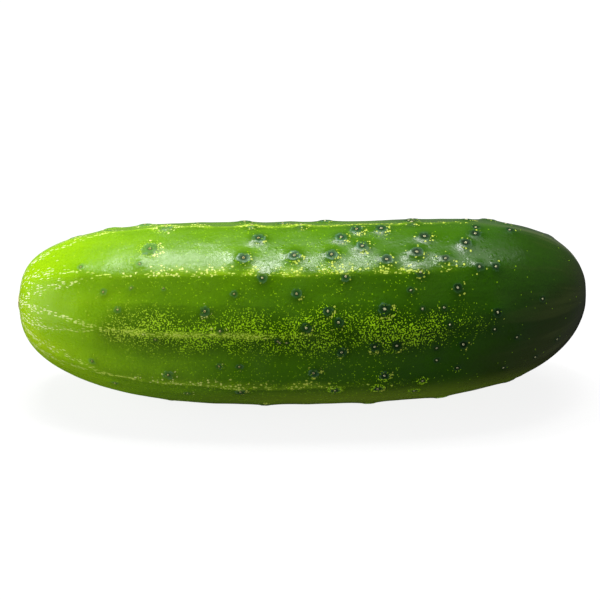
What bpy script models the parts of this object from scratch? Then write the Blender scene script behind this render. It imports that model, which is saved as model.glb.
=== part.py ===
"""A pickling cucumber as picked, lying on its side: one solid fruit, skin, warts, scars and all.

It lies along X with the blossom end at -X and the stem end at +X. Angles round the fruit are
measured from the front (-Y) up over the top (+Z) to the back, so 0 is the front, 90 the top,
180 the back and 270 the underside.
"""

import math

import bmesh
import bpy
import numpy as np
from mathutils import Vector

MM = 0.001

# The whole fruit, in metres.
LENGTH = 0.125
BELLY_RADIUS = 0.0201
BELLY_STATION = 0.43        # fraction of the length, from the blossom end, where it is thickest

# Each half narrows to its tip as a superellipse. A high first power keeps the flanks straight
# for longer; a high second power makes the tip blunter.
BLOSSOM_POWERS = (2.56, 2.74)
STEM_POWERS = (4.90, 2.03)

# The fruit is slightly bowed: the stem tip stands this far back and up from the belly's line,
# and the blossom tip a little less because it is nearer the belly.
BOW_BACK = 0.0055
BOW_UP = 0.0022

# Ten low ribs run from tip to tip and give the section soft corners.
RIB_ANGLES = (12, 50, 95, 122, 154, 186, 218, 252, 294, 334)
RIB_RELIEF = 0.0005         # how far the flats between two ribs lie below a plain circle
RIB_SOFTNESS = 0.12         # rounding of each rib's crest, as a share of half a flat
RIB_FADE = 0.10             # the ribs die out over this fraction of the length at each tip

# Warts: low rounded mounds of several sizes. Each size is a share of the largest one's height,
# and a smaller wart is also narrower, by this power of its size. A row gives its angle and its
# stations in millimetres from the blossom tip. The front carries more towards the stem end.
WART_RADIUS = 0.0033
WART_HEIGHT = 0.00055
WART_NARROWING = 0.4
FRONT_WARTS = {
    1.0: (
        (104, (12.7, 18.7, 39.4, 57.9, 85.4, 98.0)),
        (96, (32.6, 51.3, 61.9, 86.0)),
        (88, (73.9, 79.2)),
        (80, (52.8, 70.5, 99.4)),
        (78, (88.4,)),
        (71, (29.6, 75.0, 97.2)),
        (64, (60.5, 68.4, 86.6)),
        (62, (49.7,)),
        (59, (80.1,)),
        (27, (79.6,)),
    ),
    0.72: (
        (88, (99.7, 107.1)),
        (58, (92.6,)),
        (51, (99.8, 103.3)),
        (49, (87.2,)),
        (48, (53.7, 71.3)),
        (38, (61.0, 95.1)),
        (27, (41.6, 67.6)),
        (20, (69.8, 103.6)),
        (17, (63.0,)),
        (4, (77.5, 82.2)),
        (1, (70.5, 96.4)),
        (-14, (64.6,)),
        (-18, (33.6, 79.7)),
        (-30, (48.9, 69.2, 78.4)),
        (-60, (54.0, 107.6)),
    ),
    0.48: (
        (103, (106.7,)),
        (58, (14.9, 27.6)),
        (38, (19.9, 47.8, 85.1)),
        (26, (23.0, 87.6, 92.2, 113.5)),
        (15, (44.9, 93.4)),
        (9, (57.0, 103.0)),
        (0, (90.7, 107.9)),
        (-9, (44.5, 48.8, 90.8)),
        (-17, (17.1, 95.3, 117.2)),
        (-25, (87.9, 105.4, 112.3)),
        (-38, (21.7, 37.4, 86.4)),
    ),
    0.28: (
        (41, (25.9, 32.8)),
        (8, (31.1, 57.4, 58.9)),
    ),
}

# The back and the underside carry the same scatter by a rule: rows of warts at an even angle,
# each row started further along than the last so that no two rows line up.
BACK_ROW_FIRST = 116
BACK_ROW_LAST = 290
BACK_ROW_STEP = 11.6
BACK_WART_SPACING = 23.0    # millimetres between warts of one row near the blossom end
BACK_WART_CLOSING = 0.35    # the spacing shrinks by this share on the way to the stem end
BACK_FIRST_STATION = 14.0
BACK_LAST_STATION = 119.0
GOLDEN_SHARE = 0.618
WANDER_ROUND = 3.5          # degrees that a wart strays from its row
WANDER_ALONG = 2.2          # millimetres that a wart strays along its row
BACK_SMALLEST = 0.45        # sizes on the back run from this up to the largest
ROUND_WAVE = 2.1            # how fast each of the three changes from one wart to the next,
ALONG_WAVE = 3.7            # in radians per millimetre of station
SIZE_WAVE = 1.3

# Where it rests, skin and warts are pressed to a real flat, this deep into the plain skin.
REST_DEPTH = 0.0004

# The stalk has come away and left a shallow dish with a low corky stub in it.
STEM_DISH_RADIUS = 0.0030
STEM_DISH_DEPTH = 0.0009
STUB_RADIUS = 0.0016
STUB_RISE = 0.0004          # height of the stub's crown above the floor of the dish

# The flower has dried off and left a low round scab.
BLOSSOM_SCAB_RADIUS = 0.0020
BLOSSOM_SCAB_RISE = 0.0003

# How finely the skin is divided.
AROUND = 72
ALONG = 76
SCAR_AROUND = 31
SCAR_ALONG = 10
PROFILE_SAMPLES = 4000

SKIN_COLOUR = (0.085, 0.185, 0.012, 1.0)
SKIN_ROUGHNESS = 0.38


def clear_scene():
    """Start from an empty scene."""
    for old in list(bpy.data.objects):
        bpy.data.objects.remove(old, do_unlink=True)


def new_collection(name):
    """Add a collection to the scene."""
    made = bpy.data.collections.new(name)
    bpy.context.scene.collection.children.link(made)
    return made


def radius_at(share):
    """Radius of the plain round section at a fraction of the length from the blossom tip."""
    if share < BELLY_STATION:
        outward = (BELLY_STATION - share) / BELLY_STATION
        first, second = BLOSSOM_POWERS
    else:
        outward = (share - BELLY_STATION) / (1.0 - BELLY_STATION)
        first, second = STEM_POWERS
    return BELLY_RADIUS * max(0.0, 1.0 - outward ** first) ** (1.0 / second)


def centre_at(share):
    """Middle of the section, on the bowed line that the fruit grew along."""
    away = ((share - BELLY_STATION) / (1.0 - BELLY_STATION)) ** 2
    return Vector((LENGTH * (share - 0.5), BOW_BACK * away, BOW_UP * away))


def rib_drop(share, angle):
    """How far the skin lies below a plain circle: nothing at a rib, most between two ribs."""
    turn = angle % 360.0
    ribs = sorted(RIB_ANGLES)
    below = max((rib for rib in ribs if rib <= turn), default=ribs[-1] - 360.0)
    above = min((rib for rib in ribs if rib > turn), default=ribs[0] + 360.0)
    half_flat = 0.5 * (above - below)
    off_rib = min(turn - below, above - turn) / half_flat
    full = math.hypot(1.0, RIB_SOFTNESS) - RIB_SOFTNESS
    rounded = (math.hypot(off_rib, RIB_SOFTNESS) - RIB_SOFTNESS) / full
    fade = min(1.0, min(share, 1.0 - share) / RIB_FADE)
    return RIB_RELIEF * fade * (2.0 * rounded - rounded ** 2)


def skin_point(share, angle):
    """A point of the ribbed skin, before the warts."""
    turn = math.radians(angle)
    outward = Vector((0.0, -math.cos(turn), math.sin(turn)))
    reach = max(0.0, radius_at(share) - rib_drop(share, angle))
    return centre_at(share) + outward * reach


def even_stations(count):
    """Fractions of the length that lie evenly spaced along the skin from tip to tip."""
    shares = 0.5 - 0.5 * np.cos(np.linspace(0.0, math.pi, PROFILE_SAMPLES))
    radii = np.array([radius_at(share) for share in shares])
    steps = np.hypot(np.diff(shares * LENGTH), np.diff(radii))
    walked = np.concatenate(([0.0], np.cumsum(steps)))
    return np.interp(np.linspace(0.0, walked[-1], count + 1), walked, shares)


def back_warts():
    """Angle, station and size of each wart on the back and the underside."""
    warts = []
    angle = BACK_ROW_FIRST
    started = 0.0
    while angle <= BACK_ROW_LAST:
        started = (started + GOLDEN_SHARE) % 1.0
        station = BACK_FIRST_STATION + BACK_WART_SPACING * started
        while station < BACK_LAST_STATION:
            stray_round = WANDER_ROUND * math.sin(ROUND_WAVE * station + angle)
            stray_along = WANDER_ALONG * math.sin(ALONG_WAVE * station + 2.0 * angle)
            growth = abs(math.sin(SIZE_WAVE * station + angle))
            size = BACK_SMALLEST + (1.0 - BACK_SMALLEST) * growth
            warts.append((angle + stray_round, station + stray_along, size))
            station += BACK_WART_SPACING * (1.0 - BACK_WART_CLOSING * station * MM / LENGTH)
        angle += BACK_ROW_STEP
    return warts


def all_warts():
    """Centre on the ribbed skin, and size, of every wart."""
    warts = back_warts()
    for size, rows in FRONT_WARTS.items():
        for angle, stations in rows:
            for station in stations:
                warts.append((angle, station, size))
    return [(skin_point(station * MM / LENGTH, angle), size) for angle, station, size in warts]


def wart_rise(point, warts):
    """Height of the skin's warts over a point: the highest smooth mound that reaches it."""
    rise = 0.0
    for centre, size in warts:
        radius = WART_RADIUS * size ** WART_NARROWING
        away = (point - centre).length / radius
        if away < 1.0:
            rise = max(rise, WART_HEIGHT * size * (1.0 - away ** 2) ** 2)
    return rise


def grow_fruit(mesh):
    """Shape a ball into the ribbed, warted, bowed fruit, its poles at the two tips."""
    body = bmesh.new()
    bmesh.ops.create_uvsphere(body, u_segments=AROUND, v_segments=ALONG, radius=1.0)
    stations = even_stations(ALONG)
    warts = all_warts()
    lowest_skin = 0.0
    for vert in body.verts:
        ring = round(ALONG * math.acos(max(-1.0, min(1.0, -vert.co.z))) / math.pi)
        share = float(stations[ring])
        if ring in (0, ALONG):
            vert.co = centre_at(share)
            continue
        angle = math.degrees(math.atan2(vert.co.y, vert.co.x))
        point = skin_point(share, angle)
        lowest_skin = min(lowest_skin, point.z)
        outward = (point - centre_at(share)).normalized()
        vert.co = point + outward * wart_rise(point, warts)
    press_rest_flat(body, lowest_skin + REST_DEPTH)
    bmesh.ops.recalc_face_normals(body, faces=body.faces)
    for face in body.faces:
        face.smooth = True
    body.to_mesh(mesh)
    body.free()


def press_rest_flat(body, height):
    """Cut the underside off flat at a height and close it with one flat face."""
    everything = body.verts[:] + body.edges[:] + body.faces[:]
    cut = bmesh.ops.bisect_plane(
        body,
        geom=everything,
        plane_co=(0.0, 0.0, height),
        plane_no=(0.0, 0.0, -1.0),
        clear_outer=True,
    )
    rim = [item for item in cut["geom_cut"] if isinstance(item, bmesh.types.BMEdge)]
    bmesh.ops.edgeloop_fill(body, edges=rim)


def seat_on_ground(mesh):
    """Put the origin under the middle of the fruit, level with the flat it rests on."""
    low = [min(vert.co[axis] for vert in mesh.vertices) for axis in range(3)]
    high = [max(vert.co[axis] for vert in mesh.vertices) for axis in range(3)]
    shift = Vector((-(low[0] + high[0]) / 2.0, -(low[1] + high[1]) / 2.0, -low[2]))
    for vert in mesh.vertices:
        vert.co += shift
    return shift


def button(name, radii, centre, collection):
    """A flattened ball, its poles along X, used to hollow or raise a scar."""
    mesh = bpy.data.meshes.new(name)
    body = bmesh.new()
    bmesh.ops.create_uvsphere(body, u_segments=SCAR_AROUND, v_segments=SCAR_ALONG, radius=1.0)
    for vert in body.verts:
        along, side, up = vert.co.z, vert.co.x, vert.co.y
        vert.co = Vector((along * radii[0], side * radii[1], up * radii[2])) + centre
    bmesh.ops.recalc_face_normals(body, faces=body.faces)
    for face in body.faces:
        face.smooth = True
    body.to_mesh(mesh)
    body.free()
    made = bpy.data.objects.new(name, mesh)
    made.hide_render = True
    made.display_type = "WIRE"
    collection.objects.link(made)
    return made


def join_shape(fruit, tool, operation):
    """Cut a shape out of the fruit or grow it on, keeping one body."""
    step = fruit.modifiers.new(tool.name, "BOOLEAN")
    step.operation = operation
    step.object = tool
    step.solver = "EXACT"


def finish_stem_end(fruit, tip, tools):
    """Leave the dish and the corky stub where the stalk has come away."""
    dish = button(
        "stem_dish",
        (STEM_DISH_DEPTH, STEM_DISH_RADIUS, STEM_DISH_RADIUS),
        tip,
        tools,
    )
    join_shape(fruit, dish, "DIFFERENCE")
    stub_centre = tip - Vector((STEM_DISH_DEPTH, 0.0, 0.0))
    stub = button("stalk_stub", (STUB_RISE, STUB_RADIUS, STUB_RADIUS), stub_centre, tools)
    join_shape(fruit, stub, "UNION")


def finish_blossom_end(fruit, tip, tools):
    """Leave the low scab where the flower has dried off."""
    radii = (BLOSSOM_SCAB_RISE, BLOSSOM_SCAB_RADIUS, BLOSSOM_SCAB_RADIUS)
    scab = button("blossom_scab", radii, tip, tools)
    join_shape(fruit, scab, "UNION")


def skin_material():
    """Waxy green skin."""
    made = bpy.data.materials.new("cucumber_skin")
    made.use_nodes = True
    shader = made.node_tree.nodes["Principled BSDF"]
    shader.inputs["Base Color"].default_value = SKIN_COLOUR
    shader.inputs["Roughness"].default_value = SKIN_ROUGHNESS
    shader.inputs["Metallic"].default_value = 0.0
    made.diffuse_color = SKIN_COLOUR
    return made


def build():
    """Make the cucumber."""
    clear_scene()
    parts = new_collection("pickling_cucumber")
    tools = new_collection("cutters")
    tools.hide_render = True
    mesh = bpy.data.meshes.new("cucumber")
    grow_fruit(mesh)
    shift = seat_on_ground(mesh)
    mesh.materials.append(skin_material())
    fruit = bpy.data.objects.new("cucumber", mesh)
    parts.objects.link(fruit)
    finish_stem_end(fruit, centre_at(1.0) + shift, tools)
    finish_blossom_end(fruit, centre_at(0.0) + shift, tools)


build()
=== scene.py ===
# %% [markdown]
# # A pickling cucumber
# This lesson grows one whole cucumber: a waxy, ribbed, warted skin with the dry base of a spine
# on every wart, a scab where the flower fell off and a corky stub where the stalk came away.
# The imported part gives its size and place, and everything here is in metres in that same frame.

import math
from types import SimpleNamespace

import bpy
import numpy as np
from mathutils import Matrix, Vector


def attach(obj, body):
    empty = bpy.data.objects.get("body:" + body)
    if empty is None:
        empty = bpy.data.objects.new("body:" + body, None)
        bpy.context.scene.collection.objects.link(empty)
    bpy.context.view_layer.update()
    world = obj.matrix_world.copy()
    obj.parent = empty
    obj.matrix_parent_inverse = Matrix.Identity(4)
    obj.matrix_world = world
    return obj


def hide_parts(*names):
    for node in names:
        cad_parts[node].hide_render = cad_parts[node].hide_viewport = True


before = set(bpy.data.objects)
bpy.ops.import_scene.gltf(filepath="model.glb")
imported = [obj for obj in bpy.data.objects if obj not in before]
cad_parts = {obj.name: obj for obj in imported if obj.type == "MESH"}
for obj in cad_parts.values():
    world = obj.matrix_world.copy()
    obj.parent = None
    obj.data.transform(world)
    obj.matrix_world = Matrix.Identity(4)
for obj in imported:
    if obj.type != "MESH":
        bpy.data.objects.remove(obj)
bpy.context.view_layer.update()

# %% [markdown]
# ## The sizes that drive everything
# A pickling cucumber is about three times as long as it is thick. Each half narrows to its tip
# like a superellipse: the first power says how long the flank stays straight, the second how
# blunt the tip is. These are the same driving sizes as in the solid part, so the two agree.

# %% Driving sizes
MM = 0.001
LENGTH = 0.125
BELLY_RADIUS = 0.0201
BELLY_STATION = 0.43        # where it is thickest, as a fraction of the length
BLOSSOM_POWERS = (2.56, 2.74)
STEM_POWERS = (4.90, 2.03)
BOW_BACK = 0.0055           # the stem tip stands this far behind the belly's line,
BOW_UP = 0.0022             # and this far above it
SEAT = Vector((0.0, -0.00081, 0.01922))     # lifts the fruit until it rests on the ground
RINGS = 270                 # faces of the skin from tip to tip,
TURNS = 360                 # and round it
print("cucumber", LENGTH / MM, "mm long,", round(2 * BELLY_RADIUS / MM, 1), "mm thick")

# %% [markdown]
# ## Helpers for building node trees
# Both Geometry Nodes and materials are node trees. Wiring them by hand is long, so this small
# bench adds a node, sets it up and joins it in one call, and returns the output to use next.
# In the functions further down, b is the bench in use, and at gathers what has been worked out
# so far about each point of the skin.

# %% A bench for wiring nodes
class Bench:
    """Adds nodes to one tree and joins them as they are added."""

    def __init__(self, tree):
        self.tree = tree
        self.made = 0

    def add(self, kind, inputs=None, **settings):
        """Add a node, change its settings, then fill or join the named inputs."""
        node = self.tree.nodes.new(kind)
        node.location = (190 * (self.made // 7), -170 * (self.made % 7))
        self.made += 1
        for name, value in settings.items():
            setattr(node, name, value)
        for name, value in (inputs or {}).items():
            self.feed(node.inputs[name], value)
        return node

    def feed(self, socket, value):
        """Join an output to a socket, or set the socket to a plain value."""
        if isinstance(value, bpy.types.NodeSocket):
            self.tree.links.new(value, socket)
        else:
            socket.default_value = value

    def feed_in_order(self, node, values):
        """Fill a node's inputs from the first one on."""
        for socket, value in zip(node.inputs, values):
            self.feed(socket, value)

    def calc(self, operation, *values):
        """One step of arithmetic on numbers."""
        node = self.add("ShaderNodeMath", operation=operation)
        self.feed_in_order(node, values)
        return node.outputs[0]

    def plus(self, *values):
        """Numbers added together."""
        total = values[0]
        for value in values[1:]:
            total = self.calc("ADD", total, value)
        return total

    def times(self, *values):
        """Numbers multiplied together."""
        product = values[0]
        for value in values[1:]:
            product = self.calc("MULTIPLY", product, value)
        return product

    def minus(self, value, taken):
        """One number less another."""
        return self.calc("SUBTRACT", value, taken)

    def over(self, value, divisor):
        """One number divided by another."""
        return self.calc("DIVIDE", value, divisor)

    def arrow(self, operation, *values):
        """One step of arithmetic on vectors."""
        node = self.add("ShaderNodeVectorMath", operation=operation)
        self.feed_in_order(node, values)
        single = operation in ("LENGTH", "DISTANCE", "DOT_PRODUCT")
        return node.outputs["Value" if single else "Vector"]

    def stretch(self, vector, amount):
        """A vector made longer or shorter."""
        node = self.add("ShaderNodeVectorMath", {"Scale": amount}, operation="SCALE")
        self.feed(node.inputs[0], vector)
        return node.outputs[0]

    def xyz(self, x=0.0, y=0.0, z=0.0):
        """Three numbers as one vector."""
        return self.add("ShaderNodeCombineXYZ", {"X": x, "Y": y, "Z": z}).outputs[0]

    def split(self, vector):
        """A vector's three numbers."""
        return self.add("ShaderNodeSeparateXYZ", {"Vector": vector}).outputs

    def fade(self, value, start, end, low=0.0, high=1.0):
        """A smooth step from low at start to high at end."""
        sockets = ("Value", "From Min", "From Max", "To Min", "To Max")
        wanted = dict(zip(sockets, (value, start, end, low, high)))
        return self.add("ShaderNodeMapRange", wanted, interpolation_type="SMOOTHSTEP").outputs[0]

    def fall(self, value, start, end):
        """A smooth step down from one at start to nothing at end."""
        return self.fade(value, start, end, 1.0, 0.0)

    def noise(self, vector, scale, detail=0.0, roughness=0.5):
        """Soft random values that average one half."""
        wanted = {"Vector": vector, "Scale": scale, "Detail": detail, "Roughness": roughness}
        return self.add("ShaderNodeTexNoise", wanted).outputs[0]

    def sway(self, vector, scale, detail=0.0, roughness=0.5):
        """The same soft random values, but averaging nothing."""
        return self.minus(self.noise(vector, scale, detail, roughness), 0.5)

    def lay(self, factor, under, over):
        """One colour laid over another by a factor."""
        node = self.add("ShaderNodeMix", data_type="RGBA")
        for index, value in ((0, factor), (6, under), (7, over)):
            self.feed(node.inputs[index], value)
        return node.outputs[2]

    def curve(self, value, points):
        """A drawn curve through a few points."""
        node = self.add("ShaderNodeFloatCurve", {"Value": value})
        line = node.mapping.curves[0]
        line.points[0].location = points[0]
        line.points[1].location = points[-1]
        for point in points[1:-1]:
            line.points.new(*point)
        node.mapping.update()
        return node.outputs[0]


def new_tree(name, kind, inputs, outputs):
    """An empty node group with named inputs and outputs: (name, socket type, default)."""
    tree = bpy.data.node_groups.new(name, kind)
    for way, sockets in (("INPUT", inputs), ("OUTPUT", outputs)):
        for label, socket_type, default in sockets:
            socket = tree.interface.new_socket(label, in_out=way, socket_type=socket_type)
            if default is not None:
                socket.default_value = default
    return tree


print("bench ready")

# %% [markdown]
# ## Half the outline
# A body that narrows at both ends is easiest to describe by half its outline, as for a lathe.
# The outline's points are spaced evenly along the skin, so they stand as close together on the
# blunt tips as on the belly. Even steps along the length would leave the tips coarse.

# %% The half outline
def radius_at(share):
    """Radius of the plain round section at a fraction of the length from the blossom tip."""
    if share < BELLY_STATION:
        outward = (BELLY_STATION - share) / BELLY_STATION
        first, second = BLOSSOM_POWERS
    else:
        outward = (share - BELLY_STATION) / (1.0 - BELLY_STATION)
        first, second = STEM_POWERS
    return BELLY_RADIUS * max(0.0, 1.0 - outward ** first) ** (1.0 / second)


def point_cloud(name, points, facts):
    """A mesh of loose points, each with its own named numbers, for a node tree to read."""
    mesh = bpy.data.meshes.new(name)
    mesh.from_pydata([tuple(point) for point in points], [], [])
    for fact, values in facts.items():
        kept = mesh.attributes.new(fact, "FLOAT", "POINT")
        kept.data.foreach_set("value", [float(value) for value in values])
    made = bpy.data.objects.new(name, mesh)
    bpy.context.scene.collection.objects.link(made)
    made.hide_render = True
    return made


shares = 0.5 - 0.5 * np.cos(np.linspace(0.0, math.pi, 4000))
radii = np.array([radius_at(share) for share in shares])
walked = np.concatenate(([0.0], np.cumsum(np.hypot(np.diff(shares * LENGTH), np.diff(radii)))))
ring_shares = np.interp(np.linspace(0.0, walked[-1], RINGS + 1), walked, shares)
outline = point_cloud(
    "half_outline",
    [(share * LENGTH, 0.0, radius_at(share)) for share in ring_shares],
    {"walked": np.linspace(0.0, walked[-1], RINGS + 1)},
)
print("skin is", round(walked[-1] / MM, 1), "mm from tip to tip along its surface")

# %% [markdown]
# ## Ribs
# Ten veins run from the stalk to the flower and show as low ribs. Near the flower each one is
# two strands of short pale dashes. Further on it may be a pale ridge, a string of beads or
# nothing, and beside it there may be a band of fine flecks, wider on one side. Angles are
# measured from the front up over the top, and stations in millimetres from the blossom tip.
# No two ribs are alike, so each has a row of its own in a table.

# %% The rib table
# angle, dashes, ridge, beads, the station round which these three fade,
# band, its start and its end, and its spread in millimetres above and below
RIBS = (
    (12, 1.00, 1.00, 0.10, 60, 1.00, 19, 105, 8.4, 6.4),
    (50, 0.95, 0.10, 1.00, 96, 0.36, 16, 100, 2.4, 5.0),
    (95, 1.00, 0.45, 0.90, 92, 0.36, 34, 100, 2.4, 2.4),
    (122, 0.70, 0.40, 0.50, 60, 0.40, 30, 96, 3.0, 3.0),
    (154, 0.90, 0.85, 0.30, 66, 0.95, 24, 100, 5.4, 5.0),
    (186, 0.70, 0.20, 0.80, 80, 0.40, 20, 90, 2.5, 2.5),
    (218, 0.90, 0.90, 0.20, 60, 0.90, 26, 104, 4.4, 5.2),
    (252, 0.60, 0.20, 0.60, 80, 0.40, 30, 92, 2.5, 3.0),
    (294, 0.70, 0.40, 0.40, 62, 0.60, 28, 98, 3.6, 3.0),
    (334, 1.35, 0.30, 0.62, 74, 0.42, 16, 98, 2.8, 2.6),
)


def around(angle):
    """The direction out of the fruit at an angle round it."""
    turn = math.radians(angle)
    return Vector((0.0, -math.cos(turn), math.sin(turn)))


angles = [rib[0] for rib in RIBS]
to_next = [(after - angle) % 360 for angle, after in zip(angles, angles[1:] + angles[:1])]
rib_facts = {
    "half_above": [gap / 2 for gap in to_next],
    "half_below": [gap / 2 for gap in to_next[-1:] + to_next[:-1]],
}
fact_names = ("line", "ridge", "beads", "line_end", "band", "band_start", "band_end",
              "spread_above", "spread_below")
for column, fact_name in enumerate(fact_names, start=1):
    rib_facts[fact_name] = [rib[column] for rib in RIBS]
ribs = point_cloud("rib_table", [around(angle) for angle in angles], rib_facts)
print("ribs at", angles)

# %% [markdown]
# ## Warts on the front
# Warts stand in loose rows, in four sizes, most crowded towards the stalk. The side that faces
# the viewer has its own scatter, so it is written out row by row: an angle, and the stations in
# millimetres from the blossom tip.

# %% Wart rows
WART_ROWS = {
    1.0: (
        (104, (12.7, 18.7, 39.4, 57.9, 85.4, 98.0)),
        (96, (32.6, 51.3, 61.9, 86.0)),
        (88, (73.9, 79.2)),
        (80, (52.8, 70.5, 99.4)),
        (78, (88.4,)),
        (71, (29.6, 75.0, 97.2)),
        (64, (60.5, 68.4, 86.6)),
        (62, (49.7,)),
        (59, (80.1,)),
        (27, (79.6,)),
    ),
    0.72: (
        (88, (99.7, 107.1)),
        (58, (92.6,)),
        (51, (99.8, 103.3)),
        (49, (87.2,)),
        (48, (53.7, 71.3)),
        (38, (61.0, 95.1)),
        (27, (41.6, 67.6)),
        (20, (69.8, 103.6)),
        (17, (63.0,)),
        (4, (77.5, 82.2)),
        (1, (70.5, 96.4)),
        (-14, (64.6,)),
        (-18, (33.6, 79.7)),
        (-30, (48.9, 69.2, 78.4)),
        (-60, (54.0, 107.6)),
    ),
    0.48: (
        (103, (106.7,)),
        (58, (14.9, 27.6)),
        (38, (19.9, 47.8, 85.1)),
        (26, (23.0, 87.6, 92.2, 113.5)),
        (15, (44.9, 93.4)),
        (9, (57.0, 103.0)),
        (0, (90.7, 107.9)),
        (-9, (44.5, 48.8, 90.8)),
        (-17, (17.1, 95.3, 117.2)),
        (-25, (87.9, 105.4, 112.3)),
        (-38, (21.7, 37.4, 86.4)),
    ),
    0.28: (
        (41, (25.9, 32.8)),
        (8, (31.1, 57.4, 58.9)),
    ),
}
print("rows on the front:", sum(len(rows) for rows in WART_ROWS.values()))

# %% [markdown]
# ## Warts on the back
# The back and the underside get the same kind of scatter from a rule. Rows stand at an even
# angle from one another. Their first warts are shifted by the golden share, so that no two rows
# line up, and slow waves make every wart stray a little and differ in size.

# %% Wart rule and wart places
BACK_ROW_FIRST = 116.0
BACK_ROW_LAST = 290.0
BACK_ROW_STEP = 11.6
BACK_SPACING = 23.0         # millimetres between two warts of a row at the blossom end
BACK_CLOSING = 0.35         # the spacing shrinks by this share towards the stalk
BACK_FIRST_STATION = 14.0
BACK_LAST_STATION = 119.0
GOLDEN_SHARE = 0.618
STRAY_ROUND = 3.5           # degrees
STRAY_ALONG = 2.2           # millimetres
BACK_SMALLEST = 0.45
ROUND_WAVE = 2.1            # how fast each of the three changes from one wart to the next,
ALONG_WAVE = 3.7            # in radians per millimetre of station
SIZE_WAVE = 1.3
WART_SINK = 0.0003          # a wart's middle lies this far under the skin


def back_warts():
    """Angle, station and size of each wart on the back and the underside."""
    warts = []
    angle = BACK_ROW_FIRST
    started = 0.0
    while angle <= BACK_ROW_LAST:
        started = (started + GOLDEN_SHARE) % 1.0
        station = BACK_FIRST_STATION + BACK_SPACING * started
        while station < BACK_LAST_STATION:
            stray_round = STRAY_ROUND * math.sin(ROUND_WAVE * station + angle)
            stray_along = STRAY_ALONG * math.sin(ALONG_WAVE * station + 2.0 * angle)
            growth = abs(math.sin(SIZE_WAVE * station + angle))
            bulk = BACK_SMALLEST + (1.0 - BACK_SMALLEST) * growth
            warts.append((angle + stray_round, station + stray_along, bulk))
            station += BACK_SPACING * (1.0 - BACK_CLOSING * station * MM / LENGTH)
        angle += BACK_ROW_STEP
    return warts


def centre_at(share):
    """Middle of the section, on the bowed line that the fruit grew along."""
    away = ((share - BELLY_STATION) / (1.0 - BELLY_STATION)) ** 2
    return Vector((LENGTH * (share - 0.5), BOW_BACK * away, BOW_UP * away))


def wart_place(angle, station):
    """Where a wart's middle lies in the frame."""
    share = station * MM / LENGTH
    return centre_at(share) + around(angle) * (radius_at(share) - WART_SINK) + SEAT


warts = back_warts()
for bulk, rows in WART_ROWS.items():
    for angle, stations in rows:
        warts.extend((angle, station, bulk) for station in stations)
places = [wart_place(angle, station) for angle, station, bulk in warts]
wart_points = point_cloud("wart_points", places, {"bulk": [wart[2] for wart in warts]})
print(len(warts), "warts")

# %% [markdown]
# ## Helpers for growing meshes
# Every Geometry Nodes tree here starts with named inputs and ends in the same way: instances
# become real faces and get one material. In between, a tree reads numbers from a cloud of
# points, keeps numbers on its mesh and moves its points. One bench holds these habits, so
# that each tree below reads as the steps of growing one piece.

# %% A bench for growing meshes
class MeshBench(Bench):
    """A bench on a new Geometry Nodes tree."""

    def __init__(self, name, inputs):
        inputs = (*inputs, ("Material", "NodeSocketMaterial", None))
        outputs = (("Geometry", "NodeSocketGeometry", None),)
        super().__init__(new_tree(name, "GeometryNodeTree", inputs, outputs))
        self.given = self.add("NodeGroupInput").outputs
        self.result = self.add("NodeGroupOutput")
        self.place = self.add("GeometryNodeInputPosition").outputs[0]
        self.normal = self.add("GeometryNodeInputNormal").outputs[0]

    def shape_of(self, name):
        """The geometry of an object that is one of the inputs."""
        node = self.add("GeometryNodeObjectInfo", {"Object": self.given[name]})
        return node.outputs["Geometry"]

    def ball(self, segments, rings):
        """A ball of radius one."""
        wanted = {"Segments": segments, "Rings": rings, "Radius": 1.0}
        return self.add("GeometryNodeMeshUVSphere", wanted).outputs["Mesh"]

    def fact(self, name, kind="FLOAT"):
        """A named number that every point keeps."""
        node = self.add("GeometryNodeInputNamedAttribute", {"Name": name}, data_type=kind)
        return node.outputs["Attribute"]

    def nearest(self, cloud, place):
        """Which point of a cloud is nearest to a place."""
        wanted = {"Geometry": cloud, "Sample Position": place}
        return self.add("GeometryNodeSampleNearest", wanted).outputs["Index"]

    def read(self, cloud, value, index, kind="FLOAT"):
        """What one point of a cloud says."""
        wanted = {"Geometry": cloud, "Value": value, "Index": index}
        node = self.add("GeometryNodeSampleIndex", wanted, data_type=kind, clamp=True)
        return node.outputs["Value"]

    def keep(self, mesh, name, value, kind="FLOAT", domain="POINT"):
        """Keep a named number on the mesh."""
        wanted = {"Geometry": mesh, "Name": name, "Value": value}
        node = self.add("GeometryNodeStoreNamedAttribute", wanted, data_type=kind, domain=domain)
        return node.outputs["Geometry"]

    def put(self, mesh, place):
        """Put every point at a new place."""
        return self.add("GeometryNodeSetPosition", {"Geometry": mesh, "Position": place}).outputs[0]

    def push(self, mesh, direction, amount):
        """Push every point along a direction."""
        wanted = {"Geometry": mesh, "Offset": self.stretch(direction, amount)}
        return self.add("GeometryNodeSetPosition", wanted).outputs[0]

    def smooth(self, mesh):
        """Shade the faces smooth."""
        return self.add("GeometryNodeSetShadeSmooth", {"Geometry": mesh}).outputs[0]

    def done(self, mesh):
        """End the tree with real faces and their material."""
        real = self.add("GeometryNodeRealizeInstances", {"Geometry": mesh}).outputs[0]
        wanted = {"Geometry": real, "Material": self.given["Material"]}
        self.feed(self.result.inputs["Geometry"],
                  self.add("GeometryNodeSetMaterial", wanted).outputs[0])
        return self.tree


print("mesh bench ready")

# %% [markdown]
# ## Running a tree
# A tree runs as a modifier on an empty mesh. The modifier finds its inputs by socket identifier.
# Once it has run, the result is kept as a plain mesh, so that a finished piece carries no
# modifier and its points can be read like those of any other mesh.

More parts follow.
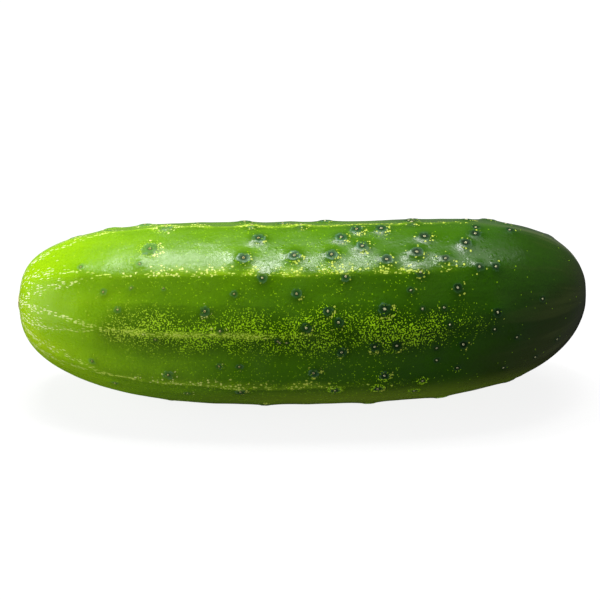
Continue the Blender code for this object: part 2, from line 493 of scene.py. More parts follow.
# %% From tree to plain mesh
def made_by(tree, name, inputs):
    """Run a tree with these named inputs and keep the result as a plain mesh object."""
    seed = bpy.data.objects.new(name, bpy.data.meshes.new(name + "_seed"))
    bpy.context.scene.collection.objects.link(seed)
    step = seed.modifiers.new("grow", "NODES")
    step.node_group = tree
    for item in tree.interface.items_tree:
        if item.in_out == "INPUT" and item.name in inputs:
            step[item.identifier] = inputs[item.name]
    seed.update_tag()
    bpy.context.view_layer.update()
    now = bpy.context.evaluated_depsgraph_get()
    mesh = bpy.data.meshes.new_from_object(
        seed.evaluated_get(now), preserve_all_data_layers=True, depsgraph=now)
    seed.modifiers.clear()
    seed.data = mesh
    mesh.name = name
    finishes = [finish for finish in mesh.materials if finish]
    mesh.materials.clear()
    for finish in finishes:
        mesh.materials.append(finish)
    mesh.polygons.foreach_set("material_index", [0] * len(mesh.polygons))
    triangles = sum(len(face.vertices) - 2 for face in mesh.polygons)
    print(name, "has", triangles, "triangles, mm:", [round(d / MM, 1) for d in seed.dimensions])
    return seed


print("ready to run trees")

# %% [markdown]
# ## A sheet to roll up
# The whole fruit follows one rule, so one tree grows it. It starts as a flat sheet, one unit
# square, whose X runs from tip to tip and whose Y runs round the fruit. The sheet's own map is
# kept for the bake. Each of its rings looks up its station and its radius on the outline.

# %% The flat sheet
ROUND_STRETCH = 20.0        # makes a direction about as long as the fruit's radius in millimetres


def start_sheet(b):
    """The flat sheet, and where each of its points will lie along and round the fruit."""
    sheet = b.add("GeometryNodeMeshGrid", {
        "Size X": 1.0,
        "Size Y": 1.0,
        "Vertices X": b.plus(b.given["Rings"], 1.0),
        "Vertices Y": b.plus(b.given["Turns"], 1.0),
    })
    corner = b.split(sheet.outputs["UV Map"])
    flat = b.split(b.place)
    ring = b.calc("ROUND", b.times(b.plus(flat[0], 0.5), b.given["Rings"]))
    outline_cloud = b.shape_of("Outline")
    profile = b.split(b.read(outline_cloud, b.place, ring, "FLOAT_VECTOR"))
    at = SimpleNamespace(station=profile[0], radius=profile[2])
    at.mesh = b.keep(sheet.outputs["Mesh"], "OFBake", b.xyz(corner[1], corner[0]),
                     "FLOAT2", "CORNER")
    at.walked = b.read(outline_cloud, b.fact("walked"), ring)
    at.mm_along = b.times(at.station, 1000.0)
    # The sheet's middle line is the top, so its two edges meet underneath.
    at.turn = b.times(flat[1], math.tau)
    at.out_y = b.calc("SINE", at.turn)
    at.out_z = b.calc("COSINE", at.turn)
    at.round_y = b.times(at.out_y, ROUND_STRETCH)
    at.round_z = b.times(at.out_z, ROUND_STRETCH)
    return at


print("sheet step ready")

# %% [markdown]
# ## Ribs on the sheet
# Between two ribs the skin is nearly flat, so a cross-section is a soft ten-sided shape. Each
# point finds its nearest rib, and the further it is from the crest, the deeper it lies below a
# plain circle. Ribs are faint near both tips.

# %% The nearest rib and the flats
RIB_WAVE_SCALE = 0.06       # how fast the ribs waver along the fruit
TIP_FADE = (0.001, 0.014)   # metres from either tip over which the ribs come in
STALK_FADE = (0.040, 0.008)     # metres from the stem tip over which they all but die out
STALK_RELIEF = 0.15         # what is left of them there


def find_rib(b, at):
    """The nearest rib, how far off it each point is, and on which side."""
    # Ribs waver a little, so the turn is nudged before looking for the nearest one.
    drifting = b.xyz(b.times(at.mm_along, RIB_WAVE_SCALE), at.out_y, at.out_z)
    nudged = b.plus(at.turn, b.times(b.sway(drifting, 1.3, 1.0), b.given["Rib Waver"]))
    out = b.xyz(0.0, b.calc("SINE", nudged), b.calc("COSINE", nudged))
    at.ribs = b.shape_of("Ribs")
    at.rib = b.nearest(at.ribs, out)
    crest = b.read(at.ribs, b.place, at.rib, "FLOAT_VECTOR")
    at.off = b.calc("ARCCOSINE", b.calc("MINIMUM", b.arrow("DOT_PRODUCT", crest, out), 1.0))
    at.rib_gap = b.times(at.off, at.radius, 1000.0)
    at.above = b.calc("LESS_THAN", b.split(b.arrow("CROSS_PRODUCT", crest, out))[0], 0.0)


def of_rib(b, at, name):
    """A number of the nearest rib."""
    return b.read(at.ribs, b.fact(name), at.rib)


def by_side(b, at, upper, lower):
    """One number of the nearest rib above its crest, and another below it."""
    chosen = b.add("ShaderNodeMix", {"Factor": at.above}, data_type="FLOAT")
    b.feed(chosen.inputs[2], of_rib(b, at, lower))
    b.feed(chosen.inputs[3], of_rib(b, at, upper))
    return chosen.outputs[0]


def rib_drop(b, at):
    """How far the skin lies below a plain circle: nothing at a rib, most between two ribs."""
    half_flat = by_side(b, at, "half_above", "half_below")
    share_off = b.over(b.times(at.off, 180.0 / math.pi), half_flat)
    soft = b.given["Rib Softness"]
    squares = b.plus(b.times(share_off, share_off), b.times(soft, soft))
    rounded = b.minus(b.calc("SQRT", squares), soft)
    from_stalk = b.minus(b.given["Length"], at.station)
    at.tip_fade = b.fade(b.calc("MINIMUM", at.station, from_stalk), *TIP_FADE)
    stalk_fade = b.fade(from_stalk, *STALK_FADE, 1.0, STALK_RELIEF)
    drop = b.times(rounded, b.minus(2.0, rounded))
    return b.times(drop, at.tip_fade, stalk_fade, b.given["Rib Relief"])


print("rib steps ready")

# %% [markdown]
# ## Rolling the sheet
# Beside the ribs lie bands of flecks, which fade in and out along the fruit. They are worked out
# here, because the sheet still knows which rib is nearest. How thickly flecked each point is gets
# kept on it, with all else that the finishes need. Then the sheet is rolled round the outline,
# squared off between the ribs, bowed, and merged where its edges meet.

# %% Bands and rolling
BAND_WANDER = 26.0          # millimetres by which a band's ends wander
BAND_RAGGEDNESS = 0.9       # how much its sides wander, as a share of its spread
BAND_SIDE = (0.15, 1.15)    # shares of its spread between which it thins out
BAND_FADE_IN = (-5.0, 8.0)  # millimetres past its start over which it comes in
BAND_FADE_OUT = (-16.0, 6.0)
LINE_FADE_OUT = (-18.0, 10.0)
SEAM = 0.000001             # points nearer than this are merged


def spread_bands(b, at):
    """How thickly flecked each point is, and how far the marks on its rib have faded."""
    wander = b.sway(b.xyz(at.mm_along, at.round_y, at.round_z), 0.11, 1.0)
    spread = by_side(b, at, "spread_above", "spread_below")
    reach = b.plus(b.over(at.rib_gap, spread), b.times(wander, BAND_RAGGEDNESS))
    shifted = b.plus(at.mm_along, b.times(wander, BAND_WANDER))
    at.band = b.times(
        of_rib(b, at, "band"),
        b.fall(reach, *BAND_SIDE),
        b.fade(b.minus(shifted, of_rib(b, at, "band_start")), *BAND_FADE_IN),
        b.fall(b.minus(shifted, of_rib(b, at, "band_end")), *BAND_FADE_OUT),
    )
    at.line_fade = b.fall(b.minus(shifted, of_rib(b, at, "line_end")), *LINE_FADE_OUT)


def keep_facts(b, at):
    """Keep on the sheet what the later steps and the finishes need."""
    facts = {
        "station": at.mm_along,
        "rib_gap": at.rib_gap,
        "band": at.band,
        "tip_fade": at.tip_fade,
        "above": at.above,
    }
    for name in ("line", "ridge", "beads"):
        facts[name] = b.times(at.line_fade, of_rib(b, at, name))
    for name, value in facts.items():
        at.mesh = b.keep(at.mesh, name, value)
    straight = b.xyz(b.times(at.walked, 1000.0), at.round_y, at.round_z)
    at.mesh = b.keep(at.mesh, "straight", straight, "FLOAT_VECTOR")


def roll_up(b, at):
    """Roll the sheet round the outline and close its seam."""
    length = b.given["Length"]
    away = b.over(b.minus(b.over(at.station, length), BELLY_STATION), 1.0 - BELLY_STATION)
    away = b.times(away, away)
    middle = b.xyz(b.minus(at.station, b.times(length, 0.5)),
                   b.times(away, b.given["Bow Back"]), b.times(away, b.given["Bow Up"]))
    reach = b.minus(at.radius, rib_drop(b, at))
    rolled = b.arrow("ADD", b.stretch(b.xyz(0.0, at.out_y, at.out_z), reach), middle)
    keep_facts(b, at)
    mesh = b.put(at.mesh, b.arrow("ADD", rolled, b.given["Seat"]))
    wanted = {"Geometry": mesh, "Distance": SEAM}
    at.mesh = b.add("GeometryNodeMergeByDistance", wanted).outputs[0]


print("rolling steps ready")

# %% [markdown]
# ## Raising the warts
# Every wart lifts the skin in two ways: a wide soft mound, and on top of it a small crater that
# will hold the spine's base. Each point of the skin only asks for its nearest wart, so any number
# of warts takes the same few nodes. The crater's section is a drawn curve.

# %% The warts' lift
CRATER_PROFILE = ((0.0, 0.10), (0.10, 0.16), (0.20, 0.58), (0.31, 0.98), (0.38, 1.0),
                  (0.46, 0.62), (0.62, 0.14), (1.0, 0.0))
FRINGE_SIDE = (0.80, -0.33, -0.50)      # beads crowd this side of a wart
UNEVEN_SCALE = 95.0
MOUND_NARROWING = 0.4       # a smaller wart's mound is narrower by this power of its size,
CRATER_NARROWING = 0.7      # and its crater by this one
MOUND_SIDE = (0.05, 1.0)    # shares of the mound's radius between which it sinks away
MOUND_BLUR = 7


def raise_warts(b, at):
    """Make the skin slightly uneven, then let the nearest wart lift it."""
    slow = b.times(b.sway(b.place, UNEVEN_SCALE, 2.0), b.given["Unevenness"],
                   b.fact("tip_fade"))
    mesh = b.push(at.mesh, b.normal, slow)
    wart_cloud = b.shape_of("Warts")
    wart = b.nearest(wart_cloud, b.place)
    middle = b.read(wart_cloud, b.place, wart, "FLOAT_VECTOR")
    bulk = b.read(wart_cloud, b.fact("bulk"), wart)
    gap = b.arrow("DISTANCE", b.place, middle)
    crater_size = b.times(b.given["Wart Radius"], b.calc("POWER", bulk, CRATER_NARROWING))
    outward = b.arrow("NORMALIZE", b.arrow("SUBTRACT", b.place, middle))
    mesh = b.keep(mesh, "wart_side", b.arrow("DOT_PRODUCT", outward, FRINGE_SIDE))
    mesh = b.keep(mesh, "wart_gap", b.over(gap, crater_size))
    mesh = b.keep(mesh, "wart_bulk", bulk)
    mound_size = b.times(b.given["Mound Radius"], b.calc("POWER", bulk, MOUND_NARROWING))
    mound = b.times(b.fall(b.over(gap, mound_size), *MOUND_SIDE), bulk)
    wanted = {"Value": mound, "Iterations": MOUND_BLUR}
    mound = b.add("GeometryNodeBlurAttribute", wanted, data_type="FLOAT").outputs["Value"]
    crater = b.curve(b.calc("MINIMUM", b.fact("wart_gap"), 1.0), CRATER_PROFILE)
    crater = b.times(crater, b.given["Crater Height"], b.fact("wart_bulk"))
    rise = b.plus(b.times(mound, b.given["Mound Height"]), crater)
    at.mesh = b.push(mesh, b.normal, rise)


print("wart step ready")

# %% [markdown]
# ## The whole skin
# Last, the dish that the stalk left is pressed in at the stem tip, and the underside settles
# flat, as it would with the fruit's weight on it. Then all the steps run in order as one tree,
# whose inputs are the sizes that a grower might want to change.

# %% Dish, resting place and the grown skin
DISH_SIDE = (0.55, 1.1)     # shares of the dish's radius between which it rises to the skin


def press_dish(b, at):
    """Press in the dish that the stalk left."""
    from_tip = b.arrow("DISTANCE", b.place, tuple(centre_at(1.0) + SEAT))
    pressed = b.fade(b.over(from_tip, b.given["Dish Radius"]), *DISH_SIDE, -1.0, 0.0)
    at.mesh = b.push(at.mesh, (1.0, 0.0, 0.0), b.times(pressed, b.given["Dish Depth"]))


def settle(b, at):
    """Let the underside lie flat on the ground."""
    x, y, z = b.split(b.place)
    at.mesh = b.put(at.mesh, b.xyz(x, y, b.calc("MAXIMUM", z, 0.0)))


def grow_tree():
    """The tree that turns the outline, the ribs and the warts into one closed skin."""
    b = MeshBench("grow_skin", (
        ("Outline", "NodeSocketObject", None),
        ("Ribs", "NodeSocketObject", None),
        ("Warts", "NodeSocketObject", None),
        ("Rings", "NodeSocketInt", RINGS),
        ("Turns", "NodeSocketInt", TURNS),
        ("Length", "NodeSocketFloat", LENGTH),
        ("Bow Back", "NodeSocketFloat", BOW_BACK),
        ("Bow Up", "NodeSocketFloat", BOW_UP),
        ("Rib Relief", "NodeSocketFloat", 0.00055),
        ("Rib Softness", "NodeSocketFloat", 0.10),
        ("Rib Waver", "NodeSocketFloat", 0.10),
        ("Unevenness", "NodeSocketFloat", 0.00042),
        ("Mound Height", "NodeSocketFloat", 0.00034),
        ("Mound Radius", "NodeSocketFloat", 0.0044),
        ("Crater Height", "NodeSocketFloat", 0.00018),
        ("Wart Radius", "NodeSocketFloat", 0.0034),
        ("Dish Radius", "NodeSocketFloat", 0.0032),
        ("Dish Depth", "NodeSocketFloat", 0.0009),
        ("Seat", "NodeSocketVector", SEAT),
    ))
    at = start_sheet(b)
    for step in (find_rib, spread_bands, roll_up, raise_warts, press_dish, settle):
        step(b, at)
    return b.done(b.smooth(at.mesh))


skin_finish = bpy.data.materials.new("waxy_skin")
skin = made_by(grow_tree(), "cucumber_skin", {
    "Outline": outline, "Ribs": ribs, "Warts": wart_points, "Material": skin_finish,
})
print("kept on the skin:", [kept.name for kept in skin.data.attributes])

# %% [markdown]
# ## Dry spine bases
# A young cucumber is prickly. By picking time the spines have rubbed off, and each wart keeps
# only the dry base: a tiny cream or tan cup, often with a dark hole where the spine stood. They
# repeat, so a second tree sets one small cup on every wart, turned square to the skin.

# %% The tree that sets the spine bases
CUP_SEGMENTS = 14
CUP_RINGS = 9
CUP_WIDTH = 0.8             # a cup is narrower one way than the other,
CUP_HEIGHT = 0.62           # flatter than a ball,
HOLE_DEPTH = 0.42           # and pressed in by this share of its radius
HOLE_NARROWING = 1.7
HOLE_SIDE = (0.15, 0.62)    # shares of the cup's radius between which the hole rises


def spine_cup(b):
    """One cup: a squat ball whose top is pressed in. It keeps where its hole is."""
    x, y, z = b.split(b.place)
    from_axis = b.arrow("LENGTH", b.xyz(x, b.times(y, HOLE_NARROWING), 0.0))
    hole = b.times(b.fall(from_axis, *HOLE_SIDE), b.calc("GREATER_THAN", z, 0.0))
    cup = b.keep(b.ball(CUP_SEGMENTS, CUP_RINGS), "hole", hole)
    sunk = b.minus(b.times(z, CUP_HEIGHT), b.times(hole, HOLE_DEPTH))
    return b.smooth(b.put(cup, b.xyz(x, b.times(y, CUP_WIDTH), sunk)))


def spots_on_skin(b):
    """The warts' points, snapped onto the grown skin, each keeping which way is out."""
    skin_shape = b.shape_of("Skin")

    def on_skin(value):
        wanted = {"Mesh": skin_shape, "Value": value}
        node = b.add("GeometryNodeSampleNearestSurface", wanted, data_type="FLOAT_VECTOR")
        return node.outputs["Value"]

    spots = b.add("GeometryNodeMeshToPoints", {"Mesh": b.shape_of("Warts")}).outputs[0]
    spots = b.keep(spots, "out", on_skin(b.normal), "FLOAT_VECTOR")
    spots = b.put(spots, on_skin(b.place))
    # Where the fruit rests, the bases have rubbed away.
    rubbed = b.calc("LESS_THAN", b.split(b.place)[2], b.given["Rubbed Height"])
    wanted = {"Geometry": spots, "Selection": rubbed}
    return b.add("GeometryNodeDeleteGeometry", wanted).outputs[0]


def random_share(b, low, high):
    """A random number for each point or cup."""
    node = b.add("FunctionNodeRandomValue", {"Seed": b.given["Seed"]}, data_type="FLOAT")
    b.feed(node.inputs[2], low)
    b.feed(node.inputs[3], high)
    return node.outputs[1]


def spine_tree():
    """The tree that stands one small cup on every wart of the finished skin."""
    b = MeshBench("set_spine_bases", (
        ("Warts", "NodeSocketObject", None),
        ("Skin", "NodeSocketObject", None),
        ("Smallest Radius", "NodeSocketFloat", 0.00015),
        ("Extra Radius", "NodeSocketFloat", 0.00018),
        ("Rubbed Height", "NodeSocketFloat", 0.0005),
        ("Seed", "NodeSocketInt", 4),
    ))
    square = b.add("FunctionNodeAlignRotationToVector",
                   {"Vector": b.fact("out", "FLOAT_VECTOR")}, axis="Z").outputs[0]
    spin = b.add("FunctionNodeEulerToRotation",
                 {"Euler": b.xyz(0.0, 0.0, random_share(b, 0.0, math.tau))}).outputs[0]
    turned = b.add("FunctionNodeRotateRotation", {"Rotation": square, "Rotate By": spin},
                   rotation_space="LOCAL").outputs[0]
    size = b.plus(b.times(b.fact("bulk"), b.given["Extra Radius"]), b.given["Smallest Radius"])
    cups = b.add("GeometryNodeInstanceOnPoints", {
        "Points": spots_on_skin(b),
        "Instance": spine_cup(b),
        "Rotation": turned,
        "Scale": size,
    }).outputs[0]
    return b.done(b.keep(cups, "age", random_share(b, 0.0, 1.0), domain="INSTANCE"))


spine_finish = bpy.data.materials.new("dry_spine")
spines = made_by(spine_tree(), "spine_bases", {
    "Warts": wart_points, "Skin": skin, "Material": spine_finish,
})

# %% [markdown]
# ## The two scars
# At the blossom end a rough cream scab closes the place where the flower dried off. At the stem
# end a corky stub sits in the dish where the stalk let go. Both are squat, roughened discs, so
# one tree makes either.

# %% The tree that makes a scar
DISC_SEGMENTS = 64
DISC_RINGS = 40
PITTING = 1.4               # how unevenly thick a disc is


def scar_tree():
    """The tree that makes a squat roughened disc, square to the length of the fruit."""
    b = MeshBench("make_scar", (
        ("Place", "NodeSocketVector", None),
        ("Radius", "NodeSocketFloat", 0.0015),
        ("Rise", "NodeSocketFloat", 0.0003),
        ("Rough", "NodeSocketFloat", 0.3),
    ))
    x, y, z = b.split(b.place)
    swell = b.plus(b.times(b.sway(b.place, 2.6, 3.0, 0.6), b.given["Rough"]), 1.0)
    side = b.times(b.given["Radius"], swell)
    pitted = b.plus(b.times(b.sway(b.place, 7.0, 2.0), PITTING), 1.0)
    squat = b.xyz(b.times(z, b.given["Rise"], pitted), b.times(x, side), b.times(y, side))
    ball = b.ball(DISC_SEGMENTS, DISC_RINGS)
    return b.done(b.smooth(b.put(ball, b.arrow("ADD", squat, b.given["Place"]))))


STUB_SINK = 0.00075         # the stub stands this far inside the stem tip, in its dish
scab_finish = bpy.data.materials.new("dried_scab")
cork_finish = bpy.data.materials.new("corky_stalk")
scars = scar_tree()
scab = made_by(scars, "blossom_scab", {
    "Place": centre_at(0.0) + SEAT,
    "Radius": 0.0021,
    "Rise": 0.0004,
    "Rough": 0.8,
    "Material": scab_finish,
})
stub = made_by(scars, "stalk_stub", {
    "Place": centre_at(1.0) + SEAT - Vector((STUB_SINK, 0.0, 0.0)),
    "Radius": 0.0017,
    "Rise": 0.0004,
    "Rough": 0.5,
    "Material": cork_finish,
})

# %% [markdown]
# ## Flecks and beads
# Two effects serve several finishes, so each is a node group built once. Flecks are soft noise
# cut off at a threshold: where the wanted density is high the cut joins up into worm-like marks,
# and where it is low only single dots are left. Beads are rounder and come from cells: each cell
# is either on or off, and its bead is larger or smaller.

# %% Node groups for flecks and beads
MASK_SOCKETS = (
    ("Vector", "NodeSocketVector", None),
    ("Scale", "NodeSocketFloat", 1.0),
    ("Density", "NodeSocketFloat", 0.5),
    ("Edge", "NodeSocketFloat", 0.06),
)
SPARSE_CUT = 0.80           # the noise has to pass this where hardly a fleck is wanted,
DENSE_CUT = 0.50            # and only this where they are wanted thickest
SMALLEST_BEAD = 0.30        # the radius of a bead, in cells
EXTRA_BEAD = 0.28


def mask_bench(name):
    """A bench on a new group that puts out a mask."""
    b = Bench(new_tree(name, "ShaderNodeTree", MASK_SOCKETS,
                       (("Mask", "NodeSocketFloat", None),)))
    given = b.add("NodeGroupInput").outputs
    return b, given, b.add("NodeGroupOutput").inputs["Mask"]


def fleck_group():
    """Flecks whose density is asked for: 0 gives none, 1 covers about half."""
    b, given, result = mask_bench("flecks")
    value = b.noise(given["Vector"], given["Scale"], 1.0, 0.35)
    wanted = {"Value": given["Density"], "To Min": SPARSE_CUT, "To Max": DENSE_CUT}
    cut = b.add("ShaderNodeMapRange", wanted).outputs[0]
    mask = b.fade(value, cut, b.plus(cut, given["Edge"]))
    b.feed(result, b.times(mask, b.fade(given["Density"], 0.0, 0.04)))
    return b.tree


def bead_group():
    """Round beads: Density is the share of cells that hold one."""
    b, given, result = mask_bench("beads")
    cell = b.add("ShaderNodeTexVoronoi", {"Vector": given["Vector"], "Scale": given["Scale"]})
    chance = b.add("ShaderNodeSeparateColor", {"Color": cell.outputs["Color"]}).outputs
    radius = b.plus(b.times(chance[1], EXTRA_BEAD), SMALLEST_BEAD)
    mask = b.fall(cell.outputs["Distance"], b.minus(radius, given["Edge"]),
                  b.plus(radius, given["Edge"]))
    held = b.calc("LESS_THAN", chance[0], given["Density"])
    b.feed(result, b.times(mask, held))
    return b.tree


flecks = fleck_group()
beads = bead_group()
print("flecks and beads have", len(flecks.nodes), "and", len(beads.nodes), "nodes")

# %% [markdown]
# ## Helpers for finishes
# Colours are easiest to choose as on a paint chart, but a material needs them linear. Each
# finish is one Principled shader. Its patterns follow either the place on the fruit, through
# Object coordinates, or the numbers that the grown skin kept.

# %% A bench for finishes
def paint(red, green, blue):
    """A paint-chart colour, 0 to 255, as the linear colour that materials use."""
    chart = [channel / 255.0 for channel in (red, green, blue)]
    linear = [c / 12.92 if c <= 0.04045 else ((c + 0.055) / 1.055) ** 2.4 for c in chart]
    return (*linear, 1.0)


class FinishBench(Bench):
    """A bench on a material's own tree, which ends in one Principled shader."""

    def __init__(self, material):
        material.use_nodes = True
        material.node_tree.nodes.clear()
        super().__init__(material.node_tree)
        shader = self.add("ShaderNodeBsdfPrincipled")
        self.add("ShaderNodeOutputMaterial", {"Surface": shader.outputs[0]})
        self.shader = shader.inputs
        self.place = self.add("ShaderNodeTexCoord").outputs["Object"]

    def fact(self, name, output="Fac"):
        """A number or a vector that the grown mesh kept."""
        return self.add("ShaderNodeAttribute", attribute_name=name).outputs[output]

    def masked(self, group, vector, scale, density, edge):
        """One use of the fleck or the bead group."""
        wanted = {"Vector": vector, "Scale": scale, "Density": density, "Edge": edge}
        return self.add("ShaderNodeGroup", wanted, node_tree=group).outputs[0]

    def bump(self, strength, distance, height):
        """Fine relief that only the light sees."""
        wanted = {"Strength": strength, "Distance": distance, "Height": height}
        self.feed(self.shader["Normal"], self.add("ShaderNodeBump", wanted).outputs[0])


print("finish bench ready")

# %% [markdown]
# ## The skin's ground colour
# The ground runs from bright yellow-green at the blossom end to near-black green at the stem
# end, streaked lengthwise. Near the blossom the top darkens first, and further on the flanks do,
# which is partly painted light that keeps the top paler where more light falls on it. The side
# that it lay on is paler, partly its own colour and partly painted bounce light from below. The
# skin is finished as a painter would do it, coat over coat, because each coat can then be changed
# alone. A coat's strength is a product of fades, and a fade says over which stretch, mostly in
# millimetres of station, it comes in or goes out.

# %% Ground colour
SKIN_STOPS = (
    (0.00, paint(166, 208, 8)),
    (0.06, paint(154, 204, 2)),
    (0.16, paint(138, 192, 2)),
    (0.28, paint(112, 166, 2)),
    (0.42, paint(86, 140, 1)),
    (0.58, paint(68, 119, 2)),
    (0.74, paint(51, 99, 5)),
    (0.86, paint(42, 78, 12)),
    (0.94, paint(46, 69, 14)),
    (1.00, paint(52, 67, 18)),
)
PALE_UNDERSIDE_AND_BOUNCE = paint(138, 170, 30)
UNDERSIDE_AND_BOUNCE_STRENGTH = 0.82
LOW_BROWN = paint(94, 84, 38)
BROWN_STRENGTH = 0.2
WORN_STREAK = paint(96, 114, 52)
MIDDLE_HEIGHT = 0.0195      # the height where the change of colour is neither early nor late
# Further on, the lean is partly painted light: it keeps the top paler where more light falls on it.
LEAN_AND_PAINTED_LIGHT = (340.0, -750.0)      # millimetres of station for each metre of height, by the blossom
                            # and further on
STREAK_SHIFT = 16.0         # millimetres by which streaks, patches and fine cells move it
PATCH_SHIFT = 20.0
CELL_SHIFT = 9.0
CELL_SCALE = 1500.0


def read_skin(b):
    """What the grown skin kept, and the wavering that several coats share."""
    at = SimpleNamespace(straight=b.fact("straight", "Vector"), height=b.split(b.place)[2])
    for name in ("station", "rib_gap", "above", "line", "ridge", "beads", "band",
                 "wart_gap", "wart_side", "wart_bulk"):
        setattr(at, name, b.fact(name))
    at.walked, at.toward_back, at.upward = b.split(at.straight)
    drawn = b.arrow("MULTIPLY", at.straight, (0.035, 0.22, 0.22))
    at.streak = b.sway(drawn, 1.0, 3.0, 0.6)
    at.patch = b.sway(at.straight, 0.07, 2.0)
    at.waver = b.sway(at.straight, 0.35, 1.0)
    at.mottle = b.noise(b.place, 170.0, 2.0)
    return at


def lay_ground(b, at):
    """The ground colour, from the blossom to the stalk."""
    cells = b.sway(b.place, CELL_SCALE, 2.0, 0.6)
    # The shift with height is partly painted light, keeping the top paler further on.
    lean_and_painted_light = b.times(b.fade(at.station, 18.0, 70.0, *LEAN_AND_PAINTED_LIGHT),
                   b.fade(at.station, 92.0, 112.0, 1.0, 0.6))
    ripe = b.plus(
        b.times(b.minus(at.height, MIDDLE_HEIGHT), lean_and_painted_light),
        at.station,
        b.times(at.streak, STREAK_SHIFT),
        b.times(cells, CELL_SHIFT),
        b.times(at.patch, PATCH_SHIFT),
    )
    ramp = b.add("ShaderNodeValToRGB", {"Fac": b.over(ripe, LENGTH / MM)})
    stops = ramp.color_ramp.elements
    stops[0].position, stops[0].color = SKIN_STOPS[0]
    stops[1].position, stops[1].color = SKIN_STOPS[-1]
    for share, colour in SKIN_STOPS[1:-1]:
        stops.new(share).color = colour
    at.colour = ramp.outputs["Color"]


def lay_wear(b, at):
    """Pale side it lay on and painted bounce light; browner by the stalk, with lengthwise worn
    streaks.
    """
    # Paler low down: partly the side it lay on, partly painted light thrown up from below.
    low = b.times(b.fade(at.height, 0.0130, 0.0035), b.fade(at.station, 20.0, 66.0),
                  UNDERSIDE_AND_BOUNCE_STRENGTH)
    at.colour = b.lay(low, at.colour, PALE_UNDERSIDE_AND_BOUNCE)
    brown = b.times(b.fade(at.station, 90.0, 116.0), b.fade(at.height, 0.0250, 0.0120),
                    BROWN_STRENGTH)
    at.colour = b.lay(brown, at.colour, LOW_BROWN)
    worn = b.times(b.fade(at.streak, -0.04, 0.16), b.fade(at.station, 96.0, 118.0),
                   b.fade(at.station, 118.0, 124.0, 0.3, 0.08))
    at.colour = b.lay(worn, at.colour, WORN_STREAK)


print("ground colour has", len(SKIN_STOPS), "stops")

# %% [markdown]
# ## Warts
# Each wart is darker than the skin round it: a deep green halo, partly its own colour and partly
# painted shade round the wart's mound, then a dark blue-green cup with a ragged edge and parts of
# a thin pale rim, which is a painted highlight on the crater's edge. All three are rings of
# distance from the wart's middle, which the skin kept. The few big warts by the blossom are wider
# and softer, so their distances are shortened before the cup is drawn.

# %% Wart colours
WART_HALO_AND_SHADE = paint(24, 74, 2)
BLOSSOM_CUP = paint(86, 142, 78)
MIDDLE_CUP = paint(42, 92, 60)
STALK_CUP = paint(14, 42, 32)
WART_PIT = paint(18, 34, 14)
WART_RIM_HIGHLIGHT = paint(118, 164, 136)
EARLY_SOFTNESS = 0.26       # how much wider and softer a big wart by the blossom is
RAGGEDNESS = 0.30
CUP_STRENGTH = 0.75
PIT_STRENGTH = 0.7


def lay_warts(b, at):
    """Halo with painted shade, cup, pit and the rim's painted highlight of every wart."""
    at.early = b.times(b.fade(at.station, 32.0, 40.0, EARLY_SOFTNESS, 0.0),
                       b.fade(at.wart_bulk, 0.6, 0.9))
    at.flare = b.times(at.wart_gap, b.minus(1.0, at.early))
    ragged = b.plus(b.times(b.sway(b.place, CELL_SCALE, 1.0), RAGGEDNESS), at.flare)
    # Halo: partly the skin's own darker green, partly painted shade round the wart's mound.
    halo_and_shade = b.times(b.fall(at.wart_gap, 0.30, 1.05), at.wart_bulk,
                   b.fade(at.station, 24.0, 48.0, 0.25, 0.50))
    at.colour = b.lay(halo_and_shade, at.colour, WART_HALO_AND_SHADE)
    at.cup = b.times(b.fall(ragged, 0.20, 0.46), b.fade(at.wart_bulk, 0.1, 0.9, 0.3, 1.0))
    teal = b.lay(b.fade(at.station, 28.0, 48.0), BLOSSOM_CUP, MIDDLE_CUP)
    teal = b.lay(b.fade(at.station, 66.0, 92.0), teal, STALK_CUP)
    at.colour = b.lay(b.times(at.cup, b.minus(CUP_STRENGTH, at.early)), at.colour, teal)
    pit = b.times(b.fall(at.wart_gap, 0.10, 0.27), PIT_STRENGTH)
    at.colour = b.lay(pit, at.colour, WART_PIT)
    # Rim: a painted highlight where the crater's edge would catch the light.
    rim_highlight = b.times(b.fade(ragged, 0.30, 0.36), b.fall(ragged, 0.38, 0.46),
                  b.fade(b.noise(b.place, 900.0, 1.0), 0.42, 0.56), at.wart_bulk,
                  b.fade(at.station, 66.0, 92.0, 0.5, 0.15))
    at.colour = b.lay(rim_highlight, at.colour, WART_RIM_HIGHLIGHT)


print("wart colours ready")

# %% [markdown]
# ## Ridges and bands of flecks
# The ridge on the strongest ribs is a soft yellow-green stripe, and towards the stalk the top rib
# goes on as a greyish streak of painted sheen. Beside the ribs lie bands of fine lime flecks on
# slightly darker skin.
# Small rings of the same flecks stand round the low warts and the big ones by the blossom. All
# flecks come from one density, so that bands and rings join without a seam.

# %% Ridges and flecks
RIDGE = paint(190, 246, 14)
RIDGE_STRENGTH = 0.7
TOP_SHEEN_STREAK = paint(122, 130, 84)
BAND_GROUND = paint(26, 62, 0)
BLOSSOM_LIME = paint(212, 242, 70)
LIME = paint(190, 252, 8)
RIDGE_LIME = paint(230, 255, 92)
FLECK_SCALE = 3200.0
FLECK_EDGE = 0.06
FLECK_STRENGTH = 0.9
EARLY_RING = 2.8            # how much denser the rings by the blossom are


def lay_ridges(b, at):
    """The pale stripe on each rib, and the painted sheen along the top by the stalk."""
    off = b.plus(b.times(at.waver, 0.9), at.rib_gap)
    broken = b.fade(b.noise(b.place, 520.0, 2.0), 0.3, 0.65, 0.4, 1.0)
    at.ridge = b.times(b.fall(off, 0.10, 1.1), b.fade(at.station, 17.0, 27.0), broken, at.ridge)
    at.colour = b.lay(b.times(at.ridge, RIDGE_STRENGTH), at.colour, RIDGE)
    # Painted sheen: a greyish streak along the top by the stalk.
    painted_sheen = b.times(b.fade(at.rib_gap, 0.2, 1.4, 0.3, 0.0), b.fade(at.station, 94.0, 112.0),
                   b.fade(at.upward, 17.0, 19.5))
    at.colour = b.lay(painted_sheen, at.colour, TOP_SHEEN_STREAK)


